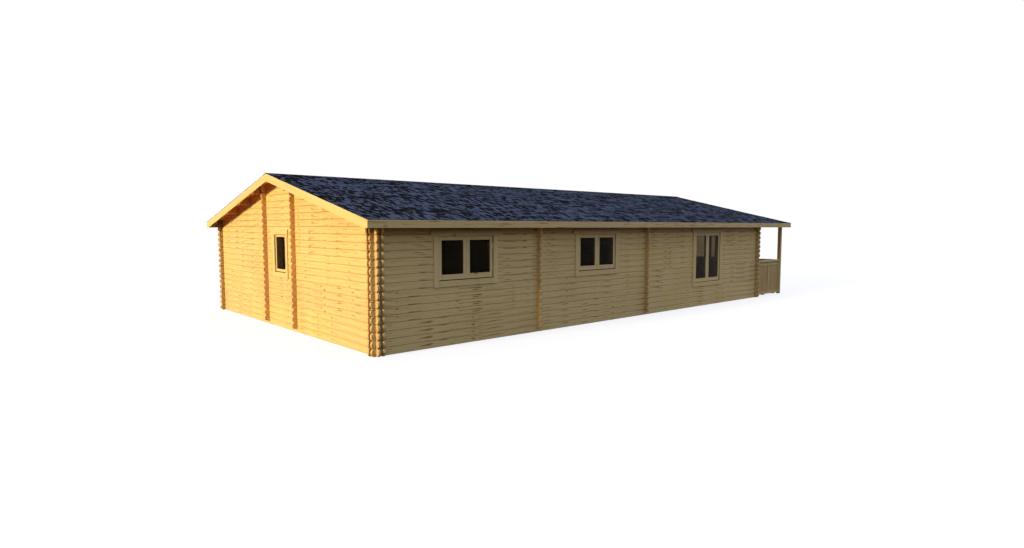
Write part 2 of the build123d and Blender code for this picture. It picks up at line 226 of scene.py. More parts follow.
class Finish:
    """A material built from nodes, on one Principled shader."""

    def __init__(self, name, constants):
        self.material = bpy.data.materials.new(name)
        self.material.use_nodes = True
        self.tree = self.material.node_tree
        self.shader = self.tree.nodes["Principled BSDF"]
        for socket, value in constants.items():
            self.shader.inputs[socket].default_value = value

    def add(self, kind, sockets, settings=None, out=0):
        """Add a node of any kind: its settings first, then what its sockets take."""
        node = self.tree.nodes.new("ShaderNode" + kind)
        for key, value in (settings or {}).items():
            setattr(node, key, value)
        for key, value in sockets.items():
            self.feed(node.inputs[key], value)
        return Value(self, node.outputs[out])

    def feed(self, socket, value):
        """Link a Value to a socket, or set the socket to a constant."""
        if isinstance(value, Value):
            self.tree.links.new(value.socket, socket)
        elif socket.type == "RGBA" and len(value) == 3:
            socket.default_value = (*value, 1)
        else:
            socket.default_value = value

    def place(self, turn=0.0):
        """Object coordinates as three values, turned about Y."""
        here = self.add("TexCoord", {}, out=3)
        if turn:
            here = self.add("Mapping", {"Vector": here, "Rotation": (0, turn, 0)})
        return self.split(here)

    def split(self, vector):
        """The three parts of a vector or colour."""
        first = self.add("SeparateXYZ", {"Vector": vector})
        return [Value(self, socket) for socket in first.socket.node.outputs]

    def join(self, x, y, z):
        return self.add("CombineXYZ", {0: x, 1: y, 2: z})

    def length(self, x, y):
        return self.add("VectorMath", {0: self.join(x, y, 0.0)}, {"operation": "LENGTH"}, out=1)

    def whole(self, value):
        return self.add("Math", {0: value}, {"operation": "FLOOR"})

    def chances(self, x, y, z):
        """Three random values from 0 to 1 for each place given by whole numbers."""
        return self.split(self.add("TexWhiteNoise", {"Vector": self.join(x, y, z)}, out=1))

    def noise(self, vector, scale, detail=2.0, roughness=0.5):
        return self.add("TexNoise", {"Vector": vector, "Scale": scale, "Detail": detail,
                                     "Roughness": roughness})

    def grain(self, place, pace, detail, roughness=0.5):
        """Noise with a pace of its own, in changes a metre, along each of three values."""
        drawn = [value * rate for value, rate in zip(place, pace)]
        return self.noise(self.join(*drawn), 1.0, detail, roughness)

    def between(self, value, low, high, to_low=0.0, to_high=1.0):
        """Bring a value from low..high to another range, eased and held at both ends."""
        return self.add("MapRange", {"Value": value, "From Min": low, "From Max": high,
                                     "To Min": to_low, "To Max": to_high},
                        {"interpolation_type": "SMOOTHSTEP"})

    def blend(self, share, first, second, how="MIX"):
        return self.add("Mix", {0: share, 6: first, 7: second},
                        {"data_type": "RGBA", "blend_type": how}, out=2)

    def lit(self, colour, amount):
        """The colour, made brighter or darker by amount."""
        return self.add("HueSaturation", {"Color": colour, "Value": amount})

    def surface(self, colour, roughness=None):
        """Give the shader its colour, and its roughness where that varies."""
        self.feed(self.shader.inputs["Base Color"], colour)
        if roughness:
            self.feed(self.shader.inputs["Roughness"], roughness)

    def bump(self, height, strength, distance):
        normal = self.add("Bump", {"Height": height, "Strength": strength,
                                   "Distance": distance})
        self.feed(self.shader.inputs["Normal"], normal)


def colour(red, green, blue):
    """A colour on the 0 to 255 scale of a paint chart, as the shader wants it."""
    def linear(level):
        level = level / 255
        return level / 12.92 if level <= 0.04045 else ((level + 0.055) / 1.055) ** 2.4
    return linear(red), linear(green), linear(blue)


# Marks of the grain: changes a metre along the wood, across it and into it.
FIBRES = (2.0, 30.0, 30.0)
BROAD_STREAKS = (0.9, 22.0, 9.0)
FLECKS = (9.0, 80.0, 20.0)
DASHES = (1.9, 34.0, 4.0)
# Levels of noise between which each mark comes up.
STREAKS_SHOW = (0.42, 0.68)
FLECKS_SHOW = (0.55, 0.68)
DASHES_SHOW = (0.64, 0.70)
TRUNK = 4                   # boards in a row that are sawn from one trunk
TRUNK_SHIFT = 37            # how far one trunk's marks may lie from another's
TIMBER_LENGTH = 2.7         # each length of timber has a tone of its own
KNOT_PACE = 0.7             # from one knot to the next along the grain
KNOT_DRAWN = 0.42           # width of a knot as a share of its length
KNOT, KNOT_VARIES = 0.008, 0.009            # size of the smallest, and what the largest add
HALO = 0.035                # reach of the darker wood round a knot
RING_PACE = 0.0075          # from one growth ring to the next
JOINT_SHADE = (0.013, 0.003)                # where it starts and is full, from a board's edge
EAVES_SHADE_HEIGHTS = (1.95, 2.12)  # heights between which painted shade darkens the wood under the eaves
RAKE_SHADE_DEPTHS = (0.19, 0.14)   # the same painted shadow under the rakes, measured down from the roof
END_SHADE_FROM = 0.003           # the painted shade of a free log end starts this far past the wall

PINE_PALE = colour(232, 203, 130)
PINE_LATE = colour(214, 172, 92)
PINE_GREY = colour(206, 180, 128)
PINE_STREAK = colour(146, 104, 50)
PINE_KNOT = colour(122, 76, 32)
# painted shade under the eaves, multiplied into the wood
EAVES_PAINTED_SHADE = (0.30, 0.21, 0.04)
# painted shadow under the rakes, multiplied into the wood
RAKE_PAINTED_SHADOW = (1.15, 0.66, 0.24)
# painted shade on the free log ends, multiplied into the wood
FREE_END_PAINTED_SHADE = (0.88, 0.83, 0.80)


def pine(name, along, across, step, start=0.0, turn=0.0, streaks=0.5, dashes=0.2, knots=0.5,
         joint=0.0, tint=None, eaves=False, rake=False, ends=None):
    """Planed softwood with its grain along one axis.

    step is the width of one board, counted from start on the axis across. Four boards in a
    row are sawn from one trunk, so their knots and streaks stand in line. Rings run round a
    heart near the board, so that faces show long lines and flames, and ends show arcs.
    joint darkens the wood along the edges of each board: painted shade in the V between two.
    Just under the roof, eaves and rake darken the wood brown along a level or a sloping edge:
    painted shade under the eaves, and a painted shadow under the rakes.
    ends is where the log ends start to stand free of the crossing walls: past it the wood is
    darkened, painted shade on the free log ends.
    """
    finish = Finish(name, {"Specular IOR Level": 0.3})
    here = finish.place(turn)
    inwards = X + Y + Z - along - across
    run, wide, thick = here[along], here[across] - start, here[inwards]
    # Board, trunk and wall are known by their numbers, counted on the two axes across.
    count = finish.whole(wide / step)
    trunk = finish.whole(count / TRUNK)
    wall = finish.whole(thick * 2 + 0.4)
    chance = finish.chances(trunk, wall, 0.5)
    own = finish.chances(count, wall, 2.5)
    run = run + chance[0] * TRUNK_SHIFT
    middle = wide - (count + 0.5) * step
    level = middle + trunk * 3.7 + wall * 1.3
    length = finish.chances(finish.whole(run / TIMBER_LENGTH), trunk, wall)

    sway = finish.join(run * 0.45, trunk * 5.3, wall * 3.1)
    drift = finish.split(finish.add("TexNoise", {"Vector": sway, "Scale": 1.0, "Detail": 2.0},
                                    out=1))
    spot_space = finish.join(run / KNOT_PACE, level / step, 0.0)
    spot = {"Vector": spot_space, "Scale": 1.0, "Randomness": 0.9}
    flat = {"voronoi_dimensions": "2D"}
    centre = finish.add("TexVoronoi", spot, flat, out=2)
    kind = finish.split(finish.add("TexVoronoi", spot, flat, out=1))
    off = finish.split(finish.add("VectorMath", {0: spot_space, 1: centre},
                                  {"operation": "SUBTRACT"}))
    reach = finish.length(off[0] * KNOT_PACE * KNOT_DRAWN, off[1] * step)
    present = (kind[0] > 1 - knots) * (own[1] * 0.7 + 0.3)
    size = kind[1] * KNOT_VARIES + KNOT
    knot = finish.between(reach / size, 1.5, 0.3) * present
    halo = finish.between(reach, HALO, 0.0) * present

    # The heart of the trunk wanders beside the middle of the face and behind it.
    heart_off = middle + (chance[1] - 0.5) * 0.08 + (drift[0] - 0.5) * 0.07 + halo * 0.010
    heart_deep = (thick - wall * 0.5) * 0.35 + chance[2] * 0.04 + 0.015 + (drift[1] - 0.5) * 0.05
    wood = (run, level, thick)
    rough = finish.grain(wood, FIBRES, 3.0)
    ring = finish.length(heart_off, heart_deep) + rough * 0.005
    ring = finish.add("Math", {0: ring * (2 * math.pi / RING_PACE)}, {"operation": "SINE"})
    late = finish.between(ring, 0.0, 1.0)
    broad = finish.between(finish.grain(wood, BROAD_STREAKS, 3.0, 0.6), *STREAKS_SHOW)
    fleck = finish.between(finish.grain(wood, FLECKS, 2.0), *FLECKS_SHOW)
    dash = finish.grain(wood, DASHES, 1.5) + length[2] * 0.05
    dash = finish.between(dash, *DASHES_SHOW)
    edge = finish.add("Math", {0: middle}, {"operation": "ABSOLUTE"})
    edge = finish.between(edge, step / 2 - JOINT_SHADE[0], step / 2 - JOINT_SHADE[1])

    shade = finish.blend(late * 0.22 + broad * (streaks * 0.9), PINE_PALE, PINE_LATE)
    shade = finish.blend(length[0] * 0.30, shade, PINE_GREY)
    shade = finish.blend(dash * dashes + fleck * (streaks * 0.30), shade, PINE_STREAK)
    shade = finish.blend(halo * 0.35, shade, PINE_STREAK)
    shade = finish.blend(knot * 0.75, shade, PINE_KNOT)
    # painted shade in the V between two logs
    shade = finish.blend(edge * joint, shade, PINE_STREAK)
    shade = finish.lit(shade, own[2] * 0.05 + length[1] * 0.05 + 0.95)
    if tint:
        shade = finish.blend(1.0, shade, tint, "MULTIPLY")
    # painted shade under the eaves
    if eaves:
        painted_shade = finish.between(here[Z], *EAVES_SHADE_HEIGHTS)
        shade = finish.blend(painted_shade, shade, EAVES_PAINTED_SHADE, "MULTIPLY")
    # painted shadow of the rakes on the gable
    if rake:
        across_roof = finish.add("Math", {0: here[X]}, {"operation": "ABSOLUTE"})
        below = WALL_TOP + HALF_WIDTH * SLOPE - across_roof * SLOPE - here[Z]
        painted_shade = finish.between(below, *RAKE_SHADE_DEPTHS)
        shade = finish.blend(painted_shade, shade, RAKE_PAINTED_SHADOW, "MULTIPLY")
    # painted shade on the log ends past the crossing walls
    if ends:
        free = (here[along] > ends[1] + END_SHADE_FROM) + (here[along] < ends[0] - END_SHADE_FROM)
        shade = finish.blend(free, shade, FREE_END_PAINTED_SHADE, "MULTIPLY")
    finish.surface(shade, late * 0.10 + 0.56)
    finish.bump(late * -0.4 + rough * 0.6 + knot * 0.8, 0.25, 0.001)
    return finish.material


SHINGLE_TAB = 0.24
# Changes a metre down the roof and along it, then a place in the noise.
CLUSTERS = (1.5, 2.0, 3.0)
PATCHES = (4.4, 11.0, 0.0)
TONES = (3.0, 3.0, 9.0)
BLACK_EDGE = (0.480, 0.500)  # levels of noise between which blue granules turn black
GRANULES = (colour(56, 65, 80), colour(72, 81, 99))
BLACK_GRANULES = (colour(20, 21, 22), colour(30, 31, 32))


def shingle_finish():
    """Mineral felt: blue-grey granules with black accents, thicker on some tabs."""
    finish = Finish("mineral_shingle", {"Roughness": 0.95, "Specular IOR Level": 0.0})
    x, y, _ = finish.place()
    flat = finish.join(x, y, 0.0)
    course = finish.whole(x / (SHINGLE_EXPOSURE * math.cos(PITCH)))
    shift = finish.chances(course, 3.0, 1.0)
    tab = finish.chances(finish.whole(y / SHINGLE_TAB + shift[0] * 5), course, 2.0)
    cluster = finish.grain((x, y, 1.0), CLUSTERS, 1.0)
    fleck = finish.grain((x, y, 1.0), PATCHES, 1.0)
    black = fleck + (cluster - 0.5) * 0.30 + (tab[0] - 0.5) * 0.14
    black = finish.between(black, *BLACK_EDGE)
    speck = finish.split(finish.add("TexVoronoi", {"Vector": flat, "Scale": 420.0}, out=1))[0]
    base = finish.blend(speck, *GRANULES)
    dark = finish.blend(speck, *BLACK_GRANULES)
    tone = finish.grain((x, y, 1.0), TONES, 2.0)
    finish.surface(finish.lit(finish.blend(black, base, dark), tone * 0.2 + 0.9))
    finish.bump(finish.noise(flat, 300.0, 2.0), 0.5, 0.002)
    return finish.material


def glass_finish(name, dark, pale, ior):
    """Window glass, faintly tinted, with a breath of haze."""
    finish = Finish(name, {"Transmission Weight": 1.0, "IOR": ior, "Specular IOR Level": 0.25})
    x, y, z = finish.place()
    haze = finish.noise(finish.join(x, y, z), 2.0, 2.0)
    finish.surface(finish.blend(haze, dark, pale), haze * 0.02)
    return finish.material


BRUSHED = (300, 300, 30)


def metal_finish(name, dark, pale, roughness):
    """Brushed or zinc-coated metal of the fittings."""
    finish = Finish(name, {"Metallic": 1.0})
    brush = finish.grain(finish.place(), BRUSHED, 3.0)
    finish.surface(finish.blend(brush, dark, pale), brush * 0.2 + roughness)
    return finish.material


def rubber_finish():
    """Black sealing strip round the panes."""
    finish = Finish("sealing_strip", {"Specular IOR Level": 0.3})
    x, y, z = finish.place()
    dust = finish.noise(finish.join(x, y, z), 60.0, 3.0)
    finish.surface(finish.blend(dust, colour(13, 14, 18), colour(27, 28, 32)), dust * 0.2 + 0.6)
    return finish.material


STEEL = metal_finish("brushed_steel", colour(150, 150, 148), colour(196, 196, 194), 0.28)
ZINC = metal_finish("zinc_plate", colour(128, 130, 132), colour(168, 170, 172), 0.42)
RUBBER = rubber_finish()


def board_set(name, across, **options):
    """Finishes for boards along X, Y and Z, then the metals and the rubber."""
    grains = [pine(f"{name}_x", X, Z, 0.11, streaks=0.2, knots=0.3, **options),
              pine(f"{name}_y", Y, Z, 0.11, streaks=0.2, knots=0.3, **options),
              pine(f"{name}_z", Z, across, 0.31, streaks=0.2, knots=0.3, **options)]
    return [*grains, STEEL, ZINC, RUBBER]


def log_set(name, along, joint, **options):
    """Finishes for logs that start on the ground and for logs that start half a course up."""
    return [pine(f"{name}_{kind}", along, Z, LOG, start=half * LOG / 2, joint=joint,
                 **options)
            for half, kind in ((0, "outer"), (1, "inner"))]


LOG_GRAIN = {
    # gable logs: painted shadow under the rakes
    "gable": log_set("gable_logs", X, 0.32, streaks=0.6, dashes=0.5, knots=0.8, rake=True,
                     ends=(-HALF_WIDTH, HALF_WIDTH)),
    # side logs: painted shade under the eaves
    "side": log_set("side_logs", Y, 0.45, streaks=0.7, dashes=0.9, knots=0.3, eaves=True,
                    ends=(FRONT, REAR)),
    # hall logs tinted warmer: painted warm bounce light, as from the sunlit gable onto their
    # shaded ends
    "hall": log_set("hall_logs_painted_bounce", Y, 0.45, streaks=0.3, knots=0.3, tint=(1.06, 0.85, 0.76)),
}
PLANED = board_set("planed", X)
# side window boards: painted shade under the eaves
SIDE_PLANED = board_set("side_planed", Y, eaves=True)
# veranda timbers darkened: painted shade on the veranda's wood
SHADED_VERANDA_PLANED = board_set("veranda", X, tint=(0.74, 0.73, 0.72))
# railing boards darkened: painted shade, the wood is the same as the walls'
SHADED_RAILING_PINE = pine("railing_boards_grain_painted_shade", Z, X, 0.31, streaks=0.4, tint=(0.66, 0.60, 0.52))
EAVE_PINE = pine("eave_board_grain", Y, Z, 0.2, streaks=0.5, dashes=0.7, knots=0.3,
                 tint=(0.84, 0.84, 0.88))
# roof boards tinted warm and dark: painted warm bounce light on wood in shade under the roof
ROOF_PINE = [pine("roof_boards_grain_painted_bounce", X, Y, ROOF_BOARD_WIDTH, tint=(1.20, 0.68, 0.27)),
             # purlins tinted dark and warm: painted shade under the roof
             pine("purlin_grain_painted_shade", Y, X, 0.4, streaks=0.4, tint=(0.75, 0.42, 0.16))]
RAKE_PINE = {-1: pine("left_slope_board", X, Z, 0.5, turn=PITCH, streaks=0.3, knots=0.6),
             1: pine("right_slope_board", X, Z, 0.5, turn=-PITCH, streaks=0.3, knots=0.6)}
FLOOR_PINE = pine("floor_boards_grain", Y, X, FLOOR_BOARD_WIDTH)
DECK_PINE = pine("deck_boards_grain", Y, X, DECK_BOARD_WIDTH + DECK_GAP)
SHINGLE_FINISH = shingle_finish()
GLASS = glass_finish("window_glass", colour(138, 127, 108), colour(146, 135, 116), 1.1)
HALL_GLASS = glass_finish("hall_window_glass", colour(170, 152, 82), colour(178, 160, 88), 1.03)

# Slots on a piece: 0 to 2 of a board set are grain along X, Y and Z.
FIRST_SLOT, SECOND_SLOT = 0, 1
STEEL_SLOT, ZINC_SLOT, RUBBER_SLOT, BOARDING_SLOT = 3, 4, 5, 6


# ---- shapes ---------------------------------------------------------------------------------
def finished(bm, name, nodes, finishes):
    """Turn a bmesh into a piece of the cabin that stands in for the nodes given."""
    bmesh.ops.recalc_face_normals(bm, faces=bm.faces)
    mesh = bpy.data.meshes.new(name)
    bm.to_mesh(mesh)
    bm.free()
    for finish in finishes:
        mesh.materials.append(finish)
    mesh.shade_smooth()
    mesh.set_sharp_from_angle(angle=SHARP)
    piece = bpy.data.objects.new(name, mesh)
    bpy.context.scene.collection.objects.link(piece)
    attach(piece, "root")
    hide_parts(*nodes)


def block(bm, one, other, finish=None):
    """Box between two corners. Its grain runs along its longest side."""
    low = Vector(map(min, one, other))
    high = Vector(map(max, one, other))
    size = high - low
    place = Matrix.Translation((low + high) / 2) @ Matrix.Diagonal((*size, 1))
    made = bmesh.ops.create_cube(bm, size=1, matrix=place)
    if finish is None:
        finish = max(range(3), key=lambda axis: size[axis])
    for face in {face for vert in made["verts"] for face in vert.link_faces}:
        face.material_index = finish


def rod(bm, one, other, radius, finish, sides=ROD_SIDES):
    """Round bar from one point to another."""
    one, other = Vector(one), Vector(other)
    way = other - one
    turn = way.to_track_quat("Z", "Y").to_matrix().to_4x4()
    place = Matrix.Translation((one + other) / 2) @ turn
    made = bmesh.ops.create_cone(bm, cap_ends=True, segments=sides, radius1=radius,
                                 radius2=radius, depth=way.length, matrix=place)
    for face in {face for vert in made["verts"] for face in vert.link_faces}:
        face.material_index = finish


def ease(bm, width, segments=2, edges=None):
    """Take the sharpness off edges, by default all of them."""
    bmesh.ops.bevel(bm, geom=edges or bm.edges[:], offset=width, offset_type="OFFSET",
                    affect="EDGES", segments=segments, profile=0.5, material=-1,
                    clamp_overlap=True)


def at(along, run, cross, height):
    """Point at run along a wall, cross through its thickness and height above the ground."""
    return Vector((cross, run, height)) if along == Y else Vector((run, cross, height))


def cut_to_roof(bm):
    """Cut away what stands above the underside of the roof boards, and close the cut."""
    ridge = Vector((0, 0, underside(0)))
    for sign in (-1, 1):
        up = Vector((sign * math.sin(PITCH), 0, math.cos(PITCH)))
        made = bmesh.ops.bisect_plane(bm, geom=bm.verts[:] + bm.edges[:] + bm.faces[:],
                                      plane_co=ridge, plane_no=up, clear_outer=True)
        edges = [item for item in made["geom_cut"] if isinstance(item, bmesh.types.BMEdge)]
        if edges:
            bmesh.ops.holes_fill(bm, edges=edges)


# ---- log walls ------------------------------------------------------------------------------
def log_outlines(start, end, low, up, holes):
    """One log's outlines in the plane of its wall, with what windows and doors take out."""
    outlines = []
    under, over = [(start, low)], [(start, up)]
    for hole_start, hole_end, hole_low, hole_up in sorted(holes):
        if hole_low >= up or hole_up <= low:
            continue
        if up - hole_up < SLIVER:
            hole_up = up
        if hole_low <= low and hole_up >= up:
            outlines.append(under + [(hole_start, low), (hole_start, up)] + over[::-1])
            under, over = [(hole_end, low)], [(hole_end, up)]
        elif hole_low <= low:
            under += [(hole_start, low), (hole_start, hole_up), (hole_end, hole_up),
                      (hole_end, low)]
        else:
            over += [(hole_start, up), (hole_start, hole_low), (hole_end, hole_low),
                     (hole_end, up)]
    outlines.append(under + [(end, low), (end, up)] + over[::-1])
    return outlines


def log_wall(node, along, grain, holes=(), rounded=(True, True)):
    """One skin of stacked logs, each with chamfered edges and rounded ends.

    The last log is made too tall and cut to the roof. rounded says which of the two ends
    show as free log ends.
    """
    low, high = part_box(node)
    cross = 1 - along
    start, end = low[along], high[along]
    bottom = low.z
    # A wall along Y meets the slope at two heights, one on each of its faces.
    top = underside(0) if along == X else underside(min(abs(low.x), abs(high.x)))
    measured = underside(0) if along == X else underside(max(abs(low.x), abs(high.x)))
    count = round((measured - bottom) / LOG - TOP_LOG) + 1
    bm = bmesh.new()
    for course in range(count):
        base = bottom + course * LOG
        head = base + LOG if course < count - 1 else top + LOG / 4
        for outline in log_outlines(start, end, base, head, holes):
            bm.faces.new([bm.verts.new(at(along, run, low[cross], z)) for run, z in outline])
    made = bmesh.ops.extrude_face_region(bm, geom=bm.faces[:])
    far = [item for item in made["geom"] if isinstance(item, bmesh.types.BMVert)]
    bmesh.ops.translate(bm, verts=far, vec=at(along, 0, high[cross] - low[cross], 0))
    stops = [stop for stop, is_round in zip((start, end), rounded) if is_round]
    ends = [edge for edge in bm.edges
            if abs(edge.verts[0].co[cross] - edge.verts[1].co[cross]) > LOG_THICK / 2
            and any(abs(edge.verts[0].co[along] - stop) < TOUCHING for stop in stops)]
    ease(bm, END_ROUND, END_STEPS, ends)
    long_edges = [edge for edge in bm.edges
                  if abs(edge.verts[0].co[cross] - edge.verts[1].co[cross]) < TOUCHING]
    ease(bm, GROOVE, 2, long_edges)
    cut_to_roof(bm)
    half_up = round(bottom * 2 / LOG)
    finished(bm, node + "_stack", [node], [LOG_GRAIN[grain][half_up]])


def windows_of(side):
    """Windows of one wall as (centre, clear width, sill height)."""
    if side in ("left", "right"):
        return [(REAR - distance, CLEAR, sill) for distance, sill in WINDOWS_FROM_REAR]
    if side == "rear":
        return [(0.0, REAR_CLEAR, HIGH_SILL)]
    return [(sign * FRONT_WINDOW_OFFSET, CLEAR, LOW_SILL) for sign in (-1, 1)]


def holes_of(side):
    """What the windows and the door take out of a wall's logs."""
    holes = [(centre - clear / 2 - LINING, centre + clear / 2 + LINING, sill - LINING,
              WINDOW_HEAD + LINING) for centre, clear, sill in windows_of(side)]
    if side == "front":
        reach = DOOR_CLEAR / 2 + LINING
        holes.append((-reach, reach, FLOOR_TOP - LINING, WINDOW_HEAD + LINING))
    return holes


def walls():
    """Both skins of the four outer walls, and the four inner walls."""
    for side in SIDES:
        along = SIDES[side][0]
        grain = "side" if along == Y else "gable"
        for skin in ("outer", "inner"):
            log_wall(f"{side}_wall_{skin}_logs", along, grain, holes_of(side))
    door_top = FLOOR_TOP + DOORWAY_HEIGHT
    for node in ("rear_cross_wall", "middle_cross_wall"):
        log_wall(node, X, "gable", [(-DOORWAY, DOORWAY, 0.0, door_top)])
    for node in ("hall_wall_left", "hall_wall_right"):
        centre = (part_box(node)[0].y + REAR - WALL_DEPTH) / 2 + LOG_THICK / 2
        log_wall(node, Y, "hall", [(centre - DOORWAY, centre + DOORWAY, 0.0, door_top)],
                 (False, True))


# ---- windows and door -------------------------------------------------------------------------
def on_wall(bm, side, start, end, inner, outer, low, high, finish=None):
    """Block on a wall: inner and outer are measured outwards from the face of its logs."""
    along, face, out = SIDES[side]
    block(bm, at(along, start, face + out * inner, low), at(along, end, face + out * outer, high),
          finish)


def window_surround(bm, side, centre, clear, low, sill_board=True):
    """Rebated frame through the wall, and the boards round it on the outer face."""
    half = clear / 2
    high = WINDOW_HEAD
    for sign in (-1, 1):
        edge = centre + sign * half
        on_wall(bm, side, edge, edge + sign * LINING, -WALL_DEPTH, 0, low, high)
        on_wall(bm, side, edge - sign * FRAME_STOP, edge, -WALL_DEPTH, SASH_BACK, low, high)
        on_wall(bm, side, edge - sign * SIDE_GAP, edge, SEAL_BACK, SEAL_FRONT, low, high,
                RUBBER_SLOT)
        foot = low - TRIM_WIDTH - TRIM_FOOT if sill_board else low
        on_wall(bm, side, edge, edge + sign * TRIM_WIDTH, 0, TRIM, foot, high)
    reach = half + LINING
    inner = half - FRAME_STOP
    for z, up in ((high, 1), (low, -1)):
        on_wall(bm, side, centre - reach, centre + reach, -WALL_DEPTH, 0, z, z + up * LINING)
        on_wall(bm, side, centre - inner, centre + inner, -WALL_DEPTH, SASH_BACK,
                z - up * FRAME_STOP, z)
    for a, b in ((low, low + FOOT_GAP), (high - HEAD_GAP, high)):
        on_wall(bm, side, centre - half, centre + half, SEAL_BACK, SEAL_FRONT, a, b, RUBBER_SLOT)
    if sill_board:
        on_wall(bm, side, centre - half, centre + half, 0, TRIM, low - TRIM_WIDTH, low)
    reach = half + TRIM_WIDTH + (REAR_HEAD_REACH if side == "rear" else HEAD_REACH)
    on_wall(bm, side, centre - reach, centre + reach, 0, HEAD_BOARD, high, high + HEAD_HEIGHT)


def ring(bm, side, start, end, inner, outer, low, high, reach, finish=None):
    """Four strips along the inside of a hole."""
    for a, b in ((start, start + reach), (end - reach, end)):
        on_wall(bm, side, a, b, inner, outer, low, high, finish)
    for a, b in ((low, low + reach), (high - reach, high)):
        on_wall(bm, side, start + reach, end - reach, inner, outer, a, b, finish)


def leaf(bm, side, start, end, left_stile, right_stile, low, bottom_rail, top_rail=TOP_RAIL):
    """One glazed sash in a frame that starts at low: stiles, rails, seals and beads."""
    front = -SASH_RECESS
    foot, top = low + FOOT_GAP, WINDOW_HEAD - HEAD_GAP
    on_wall(bm, side, start, start + left_stile, SASH_BACK, front, foot, top)
    on_wall(bm, side, end - right_stile, end, SASH_BACK, front, foot, top)
    a, b = start + left_stile, end - right_stile
    pane_low, pane_high = foot + bottom_rail, top - top_rail
    on_wall(bm, side, a, b, SASH_BACK, front, foot, pane_low)
    on_wall(bm, side, a, b, SASH_BACK, front, pane_high, top)
    face = front - GLASS_SETBACK
    ring(bm, side, a, b, face, face + SEAL, pane_low, pane_high, SEAL, RUBBER_SLOT)
    behind = face - PANE
    ring(bm, side, a, b, behind - SEAL, behind, pane_low, pane_high, BEAD + SEAL, RUBBER_SLOT)
    ring(bm, side, a, b, SASH_BACK + SEAL, behind - SEAL, pane_low, pane_high, BEAD)


def screws(bm, side, centre, clear, low, sill_board=True):
    """Screw heads in the boards round a window."""
    along, face, out = SIDES[side]
    edge = clear / 2 + TRIM_WIDTH / 2
    spots = []
    for sign in (-1, 1):
        for across in (-SCREW_PAIR, SCREW_PAIR):
            for z in (low + SCREW_INSET, (low + WINDOW_HEAD) / 2, WINDOW_HEAD - SCREW_INSET):
                spots.append((centre + sign * edge + across, z, TRIM))
            spots.append((centre + sign * edge, WINDOW_HEAD + HEAD_HEIGHT / 2 + across,
                          HEAD_BOARD))
            if sill_board:
                inner = clear / 2 - SCREW_INSET
                spots.append((centre + sign * inner, low - TRIM_WIDTH / 2 + across, TRIM))
    for run, z, board in spots:
        rod(bm, at(along, run, face + out * (board - SCREW_SUNK), z),
            at(along, run, face + out * (board + SCREW_PROUD), z), SCREW_HEAD, ZINC_SLOT,
            SCREW_SIDES)


def hinges(bm, side, edge, heights):
    """Hinge barrels in the gap beside a sash."""
    along, face, out = SIDES[side]
    front = face - out * SASH_RECESS
    for z in heights:
        rod(bm, at(along, edge, front, z - HINGE_HALF), at(along, edge, front, z + HINGE_HALF),
            HINGE, ZINC_SLOT)


def handle(bm, side, run, depth, way, height, plate, end, finish):
    """Plate, neck and lever on a sash. way is 1 outside and -1 inside.

    depth is the face of the sash, and end is where the lever goes, along the wall and up.
    """
    along, face, out = SIDES[side]

    def spot(shift, off, rise):
        return at(along, run + shift, face + out * (depth + way * off), height + rise)

    block(bm, spot(-PLATE_HALF, 0.0, -plate * PLATE_BELOW),
          spot(PLATE_HALF, PLATE_THICK, plate * PLATE_ABOVE), finish)
    rod(bm, spot(0.0, NECK_START, 0.0), spot(0.0, NECK_END, 0.0), LEVER, finish)
    rod(bm, spot(0.0, LEVER_OFF, 0.0), spot(end[0], LEVER_OFF, end[1]), LEVER, finish)


def windows():
    """Surrounds and sashes of every window, wall by wall."""
    for side in SIDES:
        single = side == "rear"
        grains = SIDE_PLANED if SIDES[side][0] == Y else PLANED
        openings = windows_of(side)
        frames, sashes = bmesh.new(), bmesh.new()
        for centre, clear, sill in openings:
            window_surround(frames, side, centre, clear, sill)
            half, middle = clear / 2 - SIDE_GAP, LEAF_GAP / 2
            if single:
                leaf(sashes, side, centre - half, centre + half, REAR_STILE, REAR_STILE, sill,
                     REAR_BOTTOM_RAIL, REAR_TOP_RAIL)
            else:
                leaf(sashes, side, centre - half, centre - middle, STILE, MEETING_STILE, sill,
                     BOTTOM_RAIL)
                leaf(sashes, side, centre + middle, centre + half, MEETING_STILE, STILE, sill,
                     BOTTOM_RAIL)
        ease(frames, BOARD_EASE)
        ease(sashes, SASH_EASE, 1)
        for centre, clear, sill in openings:
            screws(frames, side, centre, clear, sill)
            edge = (clear - SIDE_GAP) / 2
            shut = edge - (SIDE_GAP + REAR_STILE) / 2 if single else MEETING_STILE / 2
            handle(sashes, side, centre + shut, SASH_BACK, -1, (sill + WINDOW_HEAD) / 2,
                   WINDOW_PLATE, WINDOW_LEVER, ZINC_SLOT)
            for sign in (-1,) if single else (-1, 1):
                hinges(sashes, side, centre + sign * edge,
                       (sill + HINGE_INSET, WINDOW_HEAD - HINGE_INSET))
        frame_node = f"{side}_window_frame" + ("" if single else "s")
        sash_node = f"{side}_window_sash" + ("" if single else "es")
        finished(frames, f"{side}_window_boards", [frame_node], grains)
        finished(sashes, f"{side}_window_bars", [sash_node], grains)


